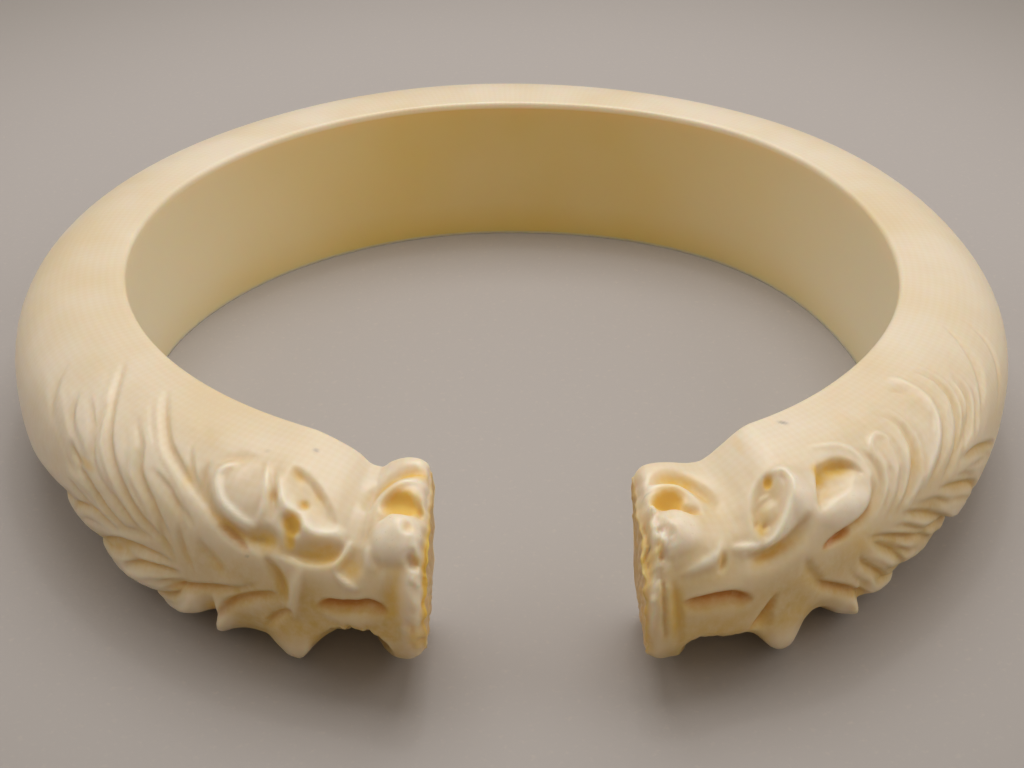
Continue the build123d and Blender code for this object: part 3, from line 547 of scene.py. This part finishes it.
def readMap(grid, along, around):
    x = np.clip(along * form["carvedLength"] / 100 / form["cell"], 0, grid.shape[0] - 1.001)
    y = np.clip(around / 100 * (grid.shape[1] - 1), 0, grid.shape[1] - 1.001)
    i, j = x.astype(int), y.astype(int)
    u, v = x - i, y - j
    return ((grid[i, j] * (1 - u) + grid[i + 1, j] * u) * (1 - v)
            + (grid[i, j + 1] * (1 - u) + grid[i + 1, j + 1] * u) * v)


# The band's own sizes at each share of the half turn
def section(share, side):
    along = share * halfTurnLength / form["carvedLength"] * 100
    inside = form["innerRadius"] * smoothCurve(side["sections"], share * 180, 1)
    thick = (form["frontThickness"] + (form["backThickness"] - form["frontThickness"])
             * smoothCurve(side["sections"], share * 180, 2))
    top = form["height"] * (1 - smoothCurve(side["crown"], along) / 100)
    return along, inside, thick, top


# Radius and height of places on the outside of the band, carved
def outsidePlaces(side, share, around):
    share, around = np.meshgrid(share, around, indexing="ij")
    along, inside, thick, top = section(share, side)

    def plain(at):
        return (inside + thick * np.interp(at, profileAround, profileDepth),
                top / 2 * (1 + np.interp(at, profileAround, profileHeight)))

    radius, z = plain(around / 100)
    r0, z0 = plain(np.clip(around / 100 - 0.002, 0, 1))
    r1, z1 = plain(np.clip(around / 100 + 0.002, 0, 1))
    slope = np.hypot(r1 - r0, z1 - z0)
    lift = readMap(side["maps"]["height"], along, around)
    radius, z = radius - (z1 - z0) / slope * lift, z + (r1 - r0) / slope * lift

    ragged = np.sin(2.3 * along + 0.8 * radius) + np.sin(4.1 * along - 1.7 * radius)
    reach = (smoothCurve(side["throat"], along) * form["height"] / 100
             + side["ragged"] * ragged * ease(4, 7, along) * (1 - ease(14, 17, along)))
    cut = reach - (inside + form["frontThickness"] - radius) * math.tan(math.radians(form["throatSlope"]))
    soft = form["throatSoftness"] * form["height"]
    raised = np.maximum(z, cut) + soft * np.log1p(np.exp(-np.abs(z - cut) / soft))
    z = np.where(reach > soft / 2, np.maximum(z, raised), z)
    radius, z = np.maximum(radius, inside), np.clip(z, 0, form["height"])
    worn = np.where(around < 50, form["edgeRounding"], form["footRounding"])
    off = np.clip(worn - (radius - inside), 0, worn)
    drop = worn - np.sqrt(np.clip(worn**2 - off**2, 0, None))
    z = np.where(around < 50, z - drop, z + drop)
    return share, radius, z, inside, thick, along, around


# Turns places into x, y and z, back from the flaked cut end
def place(side, share, radius, z, inside, thick, sunk=0):
    out, down = side["recede"]
    half = form["endGap"] * (side["halfGap"] + out * (radius - inside) / thick
                             + down * (1 - z / form["height"]))
    half = half + form["heelDepth"] * np.clip(1 - z / form["heelHeight"], 0, 1) ** 2 + sunk
    flake = (0.5 + 0.6 * np.sin(2.6 * z + 0.9 * radius) * np.sin(1.5 * z - 1.3 * radius + side["hand"])
             + 0.5 * np.sin(4.7 * z - 2.2 * radius) * np.sin(1.1 * z + 3.1 * radius))
    half = half + form["chipDepth"] * flake * np.exp(-share * halfTurnLength / form["chipReach"])
    turned = (1 - share) * np.arcsin(half / radius) + share * np.pi
    return np.stack([side["hand"] * radius * np.sin(turned), -radius * np.cos(turned), z], -1)


marks = ("lowerShade", "worn", "stain", "redden", "smudge", "wrist", "amberAndFootShade", "sawn")


# One side of the band: places in order round each section, and the marks at each of them
def sideRows(side):
    headEnd, maneEnd = (end * form["carvedLength"] / halfTurnLength for end in form["columnEnds"])
    share = np.r_[np.linspace(0, headEnd, form["headColumns"]),
                  np.linspace(headEnd, maneEnd, form["maneColumns"] + 1)[1:],
                  np.linspace(maneEnd, 1, form["backColumns"] + 1)[1:]]
    bend = 1 - np.cos(np.linspace(0, np.pi / 2, form["edgeRows"] + 1))
    edge = np.interp(bend * form["edgeRounding"] / form["frontThickness"], profileDepth[:1000],
                     profileAround[:1000]) * 100
    around = np.r_[edge[:-1], np.linspace(edge[-1], form["rowSplit"], form["faceRows"]),
                   np.linspace(form["rowSplit"], 100 - edge[-1], form["underRows"] + 1)[1:],
                   100 - edge[-2::-1]]
    shares, radius, z, inside, thick, along, arounds = outsidePlaces(side, share, around)
    rise = np.r_[0.02, np.linspace(0.08, 0.92, form["wristRows"] - 2), 0.98]
    wallRadius = np.repeat(inside[:, :1], len(rise), 1)
    wallZ = z[:, -1:] + (z[:, :1] - z[:, -1:]) * rise
    grow = np.repeat(thick[:, :1], len(rise), 1)
    loop = place(side, np.c_[shares, shares[:, :len(rise)]], np.c_[radius, wallRadius], np.c_[z, wallZ],
                 np.c_[inside, wallRadius], np.c_[thick, grow])
    marked = {name: np.zeros(loop.shape[:2]) for name in marks}
    for name in marks[:5]:
        marked[name][:, :len(around)] = readMap(side["maps"][name], along, arounds)
    marked["sawn"][0] = 0.8
    marked["wrist"][:, len(around):] = 1
    marked["wrist"][:, [0, len(around) - 1]] = 0.4
    # the wrist side is more amber towards the back, and along its foot it is painted darker amber as painted
    # shade where it meets the floor
    marked["amberAndFootShade"][:, len(around):] = ((0.15 + 0.75 * ease(0.45, 0.95, shares[:, :1])) * (0.85 + 0.15 * rise)
                                        + 0.2 * ease(0.3, 0, rise))

    # the cut end, closed by rings that shrink to a hub
    endRadius, endZ = np.r_[radius[0], wallRadius[0]], np.r_[z[0], wallZ[0]]
    hubRadius, hubZ = inside[0, 0] + 0.4 * form["frontThickness"], z[0, 0] / 2
    rings = []
    for toward in np.linspace(0, 1, form["endRings"] + 1)[1:-1]:
        sunk = form["sawMarks"] * ease(0, 0.1, toward) * (1 - toward) * random.uniform(0, 1, len(endZ))
        rings.append(place(side, 0, endRadius + (hubRadius - endRadius) * toward,
                           endZ + (hubZ - endZ) * toward, inside[0, 0], thick[0, 0], sunk))
    hub = place(side, 0, hubRadius, hubZ, inside[0, 0], thick[0, 0])
    return loop, marked, np.array(rings), hub


def buildBangle():
    built = []
    for side in sides:
        side["maps"] = carvingMaps(side)
        built.append(sideRows(side))
    (left, leftMarks, leftRings, leftHub), (right, rightMarks, rightRings, rightHub) = built
    ring = np.concatenate([left, right[-2::-1]])
    ringMarks = {name: np.concatenate([leftMarks[name], rightMarks[name][-2::-1]]) for name in marks}
    count, corners = ring.shape[:2]
    numbers = np.arange(count * corners).reshape(count, corners)
    beside = np.roll(numbers, -1, axis=1)
    faces = [np.stack([numbers[:-1], numbers[1:], beside[1:], beside[:-1]], -1).reshape(-1, 4)]
    points, values = [ring.reshape(-1, 3)], {name: [ringMarks[name].ravel()] for name in marks}
    triangles = []
    total = count * corners
    for rings, hub, outer, flip in ((leftRings, leftHub, numbers[0], False),
                                    (rightRings, rightHub, numbers[-1], True)):
        previous = outer
        for row in rings:
            current = total + np.arange(corners)
            quads = np.stack([previous, np.roll(previous, -1), np.roll(current, -1), current], -1)
            faces.append(quads[:, ::-1] if flip else quads)
            points.append(row)
            previous, total = current, total + corners
        points.append(hub[None])
        fan = np.stack([previous, np.roll(previous, -1), np.full(corners, total)], -1)
        triangles.append(fan[:, ::-1] if flip else fan)
        total += 1
        for name in marks:
            values[name].append(np.full(corners * len(rings) + 1, 1.0 if name == "sawn" else 0.0))
    points = np.clip(np.concatenate(points) * mm, cadBox[0], cadBox[1])      # never outside the CAD box
    data = bpy.data.meshes.new("carvedBangle")
    data.from_pydata(points.tolist(), [], np.concatenate(faces).tolist() + np.concatenate(triangles).tolist())
    data.polygons.foreach_set("use_smooth", [True] * len(data.polygons))
    for name in marks:
        layer = data.attributes.new(name, "FLOAT", "POINT")
        layer.data.foreach_set("value", np.concatenate(values[name]).astype(np.float32))
    data.update()
    made = bpy.data.objects.new("carvedBangle", data)
    bpy.context.scene.collection.objects.link(made)
    print("bangle built,", sum(len(p.vertices) - 2 for p in data.polygons), "triangles")
    return made


# Hex colour to linear light
def linear(colour):
    parts = [int(colour[i:i + 2], 16) / 255 for i in (1, 3, 5)]
    return tuple(c / 12.92 if c < 0.04045 else ((c + 0.055) / 1.055) ** 2.4 for c in parts) + (1.0,)


# Adds a node, gives it its settings, and links or fills its sockets
def addNode(tree, kind, sockets=None, **settings):
    node = tree.nodes.new(kind)
    for name, value in settings.items():
        setattr(node, name, value)
    for name, value in (sockets or {}).items():
        if isinstance(value, bpy.types.NodeSocket):
            tree.links.new(value, node.inputs[name])
        else:
            node.inputs[name].default_value = value
    return node


ivory = {
    "pale": "#ECE1CE",
    "warm": "#E4D3B2",
    # painted shade on the lower side of the heads and mane
    "lowerShade": "#D2B062",
    # rubbed-bare ridges, lightened further as a painted highlight
    "worn": "#F3EADA",
    "stain": "#E8C05A",
    "redden": "#C8842E",
    "smudge": "#6F6D74",
    "wall": "#F1E8CE",
    # amber of the wrist side, also used as painted shade along its foot
    "wallAmber": "#E8C86A",
    "sawnEnd": "#CDA353",
    "cloudSize": 13.0,       # mm, slow change from cream to yellow
    "arcSpacing": 1.1,       # mm between the crossing arcs of the tusk's own grain
    "arcShow": 0.16,         # how far those arcs reach from pale to warm
    "blotchSize": 11.0,      # mm, on the wrist side
    "speckSize": 0.8,        # mm, breaks in the dirt
    "scratchSize": 0.25,     # mm, real ones are finer: drawn coarse enough to show
    "scratchDepth": 0.04,    # mm
    "roughness": 0.29,
    "polish": 0.07,          # how much smoother the worn ridges are
    "dirtDullness": 0.22,
    "ior": 1.54,
    "glow": 0.6,             # share of the light that spreads under the surface
    "glowDepth": 1.3,        # mm that it travels, and how far red, green and blue do by comparison
    "glowSpread": (1.0, 0.62, 0.3),
}


# Ivory: old elephant ivory, turned, carved and hand polished. A creamy body with light inside it,
# soft highlights on the worn ridges, and yellow to red-brown dirt left in the cuts.
def polishedIvory():
    material = bpy.data.materials.new("polishedIvory")
    material.use_nodes = True
    tree = material.node_tree
    tree.nodes.clear()
    where = addNode(tree, "ShaderNodeTexCoord").outputs["Object"]
    read = {name: addNode(tree, "ShaderNodeAttribute", attribute_name=name).outputs["Fac"] for name in marks}

    # crossing arcs of the grain, seen where the polish cuts across the tusk
    parts = addNode(tree, "ShaderNodeSeparateXYZ", {0: where}).outputs
    flat = addNode(tree, "ShaderNodeCombineXYZ", {0: parts[0], 1: parts[1]}).outputs[0]
    radius = addNode(tree, "ShaderNodeVectorMath", {0: flat}, operation="LENGTH").outputs["Value"]
    angle = addNode(tree, "ShaderNodeMath", {0: parts[1], 1: parts[0]}, operation="ARCTAN2").outputs[0]
    spacing = ivory["arcSpacing"]
    count = round(2 * math.pi * form["middleRadius"] / spacing)
    around = addNode(tree, "ShaderNodeMath", {0: angle, 1: count}, operation="MULTIPLY").outputs[0]
    outward = addNode(tree, "ShaderNodeMath", {0: radius, 1: 2 * math.pi / (spacing * mm)},
                      operation="MULTIPLY").outputs[0]
    waves = []
    for kind in ("ADD", "SUBTRACT"):
        phase = addNode(tree, "ShaderNodeMath", {0: around, 1: outward}, operation=kind).outputs[0]
        waves.append(addNode(tree, "ShaderNodeMath", {0: phase}, operation="SINE").outputs[0])
    arcs = addNode(tree, "ShaderNodeMath", {0: waves[0], 1: waves[1]}, operation="MULTIPLY").outputs[0]

    clouds = addNode(tree, "ShaderNodeTexNoise", {"Vector": where, "Scale": 1 / (ivory["cloudSize"] * mm),
                                                  "Detail": 3, "Roughness": 0.55}).outputs["Fac"]
    cloudShare = addNode(tree, "ShaderNodeMapRange", {0: clouds, 1: 0.38, 2: 0.66, 3: 0.0, 4: 1.0}).outputs[0]
    arcShare = addNode(tree, "ShaderNodeMath", {0: arcs, 1: ivory["arcShow"], 2: cloudShare},
                       operation="MULTIPLY_ADD", use_clamp=True).outputs[0]
    colour = addNode(tree, "ShaderNodeMix", {0: arcShare, 6: linear(ivory["pale"]), 7: linear(ivory["warm"])},
                     data_type="RGBA").outputs[2]

    # the wrist side is more amber towards the back, in soft blotches, with painted shade along its foot
    blotches = addNode(tree, "ShaderNodeTexNoise", {"Vector": where, "Scale": 1 / (ivory["blotchSize"] * mm),
                                                    "Detail": 2, "Roughness": 0.5}).outputs["Fac"]
    blotchAmount = addNode(tree, "ShaderNodeMapRange",
                           {0: blotches, 1: 0.3, 2: 0.7, 3: 0.88, 4: 1.02}).outputs[0]
    blotchShare = addNode(tree, "ShaderNodeMath", {0: blotchAmount, 1: read["amberAndFootShade"]}, operation="MULTIPLY",
                          use_clamp=True).outputs[0]
    wall = addNode(tree, "ShaderNodeMix", {0: blotchShare, 6: linear(ivory["wall"]),
                                           7: linear(ivory["wallAmber"])}, data_type="RGBA").outputs[2]
    colour = addNode(tree, "ShaderNodeMix", {0: read["wrist"], 6: colour, 7: wall},
                     data_type="RGBA").outputs[2]
    sawnShare = addNode(tree, "ShaderNodeMath", {0: read["sawn"], 1: 0.8}, operation="MULTIPLY").outputs[0]
    colour = addNode(tree, "ShaderNodeMix", {0: sawnShare, 6: colour, 7: linear(ivory["sawnEnd"])},
                     data_type="RGBA").outputs[2]

    # the lower side is painted darker and warmer as painted shade; handling has bleached the ridges, and they
    # are painted lighter as a painted highlight too; dirt has settled in the cuts; all broken up by a fine
    # noise
    specks = addNode(tree, "ShaderNodeTexNoise", {"Vector": where, "Scale": 1 / (ivory["speckSize"] * mm),
                                                  "Detail": 3, "Roughness": 0.65}).outputs["Fac"]
    breaks = addNode(tree, "ShaderNodeMapRange", {0: specks, 1: 0.3, 2: 0.7, 3: 0.7, 4: 1.15}).outputs[0]
    for name in marks[:5]:
        share = addNode(tree, "ShaderNodeMath", {0: read[name], 1: breaks}, operation="MULTIPLY",
                        use_clamp=True).outputs[0]
        colour = addNode(tree, "ShaderNodeMix", {0: share, 6: colour, 7: linear(ivory[name])},
                         data_type="RGBA").outputs[2]

    # the polish reaches the ridges and not the cuts
    scratches = addNode(tree, "ShaderNodeTexNoise", {
        "Vector": where, "Scale": 1 / (ivory["scratchSize"] * mm), "Detail": 2}).outputs["Fac"]
    shine = addNode(tree, "ShaderNodeMath", {0: read["worn"], 1: -ivory["polish"], 2: ivory["roughness"]},
                    operation="MULTIPLY_ADD").outputs[0]
    dull = addNode(tree, "ShaderNodeMath", {0: read["stain"], 1: ivory["dirtDullness"], 2: shine},
                   operation="MULTIPLY_ADD", use_clamp=True).outputs[0]
    gloss = addNode(tree, "ShaderNodeMath", {0: scratches, 1: 0.12, 2: dull}, operation="MULTIPLY_ADD",
                    use_clamp=True).outputs[0]
    relief = addNode(tree, "ShaderNodeMath", {0: arcs, 1: 0.08, 2: scratches},
                     operation="MULTIPLY_ADD").outputs[0]
    bump = addNode(tree, "ShaderNodeBump", {"Strength": 0.15, "Distance": ivory["scratchDepth"] * mm,
                                            "Height": relief}).outputs[0]
    shader = addNode(tree, "ShaderNodeBsdfPrincipled", {
        "Base Color": colour, "Roughness": gloss, "Normal": bump, "IOR": ivory["ior"],
        "Subsurface Weight": ivory["glow"], "Subsurface Scale": ivory["glowDepth"] * mm,
        "Subsurface Radius": ivory["glowSpread"]})
    addNode(tree, "ShaderNodeOutputMaterial", {"Surface": shader.outputs[0]})
    return material


bangle = buildBangle()
bangle.data.materials.append(polishedIvory())
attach(bangle, "root")
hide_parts("carved_bangle")


floorLook = {
    "size": 2.4,             # m
    "colour": "#AEAAAA",
    "speck": "#BDB6B0",
    "paintedShade": "#827E7A",        # painted shade away from the middle of the light
    "lit": (0, 0.03, 0),     # that middle, and how far from it the painted shade starts and ends, in m
    "dimming": (0.045, 0.14),
    "grainSize": 0.5,        # mm
    "grainHeight": 0.05,     # mm
    "roughness": 0.55,
}


# Laminate: a matt grey table top, pressed with a fine grain that keeps reflections blurred
def mattLaminate():
    material = bpy.data.materials.new("mattLaminate")
    material.use_nodes = True
    tree = material.node_tree
    tree.nodes.clear()
    where = addNode(tree, "ShaderNodeTexCoord").outputs["Object"]
    fine = addNode(tree, "ShaderNodeTexNoise", {"Vector": where, "Scale": 1 / (floorLook["grainSize"] * mm),
                                                "Detail": 2}).outputs["Fac"]
    share = addNode(tree, "ShaderNodeMapRange", {0: fine, 1: 0.60, 2: 0.80, 3: 0.0, 4: 0.6}).outputs[0]
    colour = addNode(tree, "ShaderNodeMix", {0: share, 6: linear(floorLook["colour"]),
                                             7: linear(floorLook["speck"])}, data_type="RGBA").outputs[2]
    # painted shade: the table top is painted darker away from the middle of the light
    off = addNode(tree, "ShaderNodeVectorMath", {0: where, 1: floorLook["lit"]},
                  operation="SUBTRACT").outputs[0]
    far = addNode(tree, "ShaderNodeVectorMath", {0: off}, operation="LENGTH").outputs["Value"]
    dimStart, dimEnd = floorLook["dimming"]
    paintedShadeShare = addNode(tree, "ShaderNodeMapRange", {0: far, 1: dimStart, 2: dimEnd, 3: 0.0, 4: 1.0},
                       interpolation_type="SMOOTHSTEP").outputs[0]
    colour = addNode(tree, "ShaderNodeMix", {0: paintedShadeShare, 6: colour, 7: linear(floorLook["paintedShade"])},
                     data_type="RGBA").outputs[2]
    bump = addNode(tree, "ShaderNodeBump", {"Strength": 0.2, "Distance": floorLook["grainHeight"] * mm,
                                            "Height": fine}).outputs[0]
    shader = addNode(tree, "ShaderNodeBsdfPrincipled", {"Base Color": colour, "Normal": bump,
                                                        "Roughness": floorLook["roughness"]})
    addNode(tree, "ShaderNodeOutputMaterial", {"Surface": shader.outputs[0]})
    return material


half = floorLook["size"] / 2
floorData = bpy.data.meshes.new("tableTop")
floorCorners = [(-half, -half, 0), (half, -half, 0), (half, half, 0), (-half, half, 0)]
floorData.from_pydata(floorCorners, [], [(0, 1, 2, 3)])
tableTop = bpy.data.objects.new("tableTop", floorData)
bpy.context.scene.collection.objects.link(tableTop)
floorData.materials.append(mattLaminate())
print("table top laid")


lights = {
    # name: place in m, size in m, power in W, colour
    "ceilingBox": ((0.01, 0.10, 0.30), 0.28, 0.57, "#FFFBF6"),
    "brightSpot": ((0.01, 0.12, 0.36), 0.03, 0.06, "#FFFDFA"),
    "frontFill": ((0.14, -0.45, 0.40), 0.50, 0.24, "#FFF6EC"),
    "rightWall": ((0.42, 0.02, 0.24), 0.36, 0.55, "#FFF9F2"),
    "leftWall": ((-0.42, 0.10, 0.26), 0.36, 0.44, "#FFF9F2"),
}
roomLight = {"colour": "#F0E2CE", "strength": 0.36}

for name, (spot, size, power, colour) in lights.items():
    lamp = bpy.data.lights.new(name, "AREA")
    lamp.size, lamp.energy, lamp.color = size, power, linear(colour)[:3]
    holder = bpy.data.objects.new(name, lamp)
    holder.location = spot
    holder.rotation_euler = (Vector((0, 0, 0.005)) - Vector(spot)).to_track_quat("-Z", "Y").to_euler()
    bpy.context.scene.collection.objects.link(holder)

world = bpy.data.worlds.new("softRoom")
world.use_nodes = True
background = world.node_tree.nodes["Background"]
background.inputs["Color"].default_value = linear(roomLight["colour"])
background.inputs["Strength"].default_value = roomLight["strength"]
bpy.context.scene.world = world
bpy.context.scene.view_settings.view_transform = "Standard"
print("lights set")


view = {
    "place": (-0.004716, -0.12068, 0.07279),    # m
    "turn": -2.2,            # degrees about the upright
    "tilt": 59.149,          # degrees up from straight down
    "roll": 0.5,
    "lens": 60.0,            # mm, and so is the sensor's width
    "sensor": 36.0,
    "nearest": 0.005,        # m
}

cameraData = bpy.data.cameras.new("photoCamera")
cameraData.lens, cameraData.sensor_width = view["lens"], view["sensor"]
cameraData.clip_start = view["nearest"]
camera = bpy.data.objects.new("photoCamera", cameraData)
camera.matrix_world = (Matrix.Translation(view["place"]) @ Matrix.Rotation(math.radians(view["turn"]), 4, "Z")
                       @ Matrix.Rotation(math.radians(view["tilt"]), 4, "X")
                       @ Matrix.Rotation(math.radians(view["roll"]), 4, "Z"))
bpy.context.scene.collection.objects.link(camera)
bpy.context.scene.camera = camera
print("camera set")

bpy.context.view_layer.update()
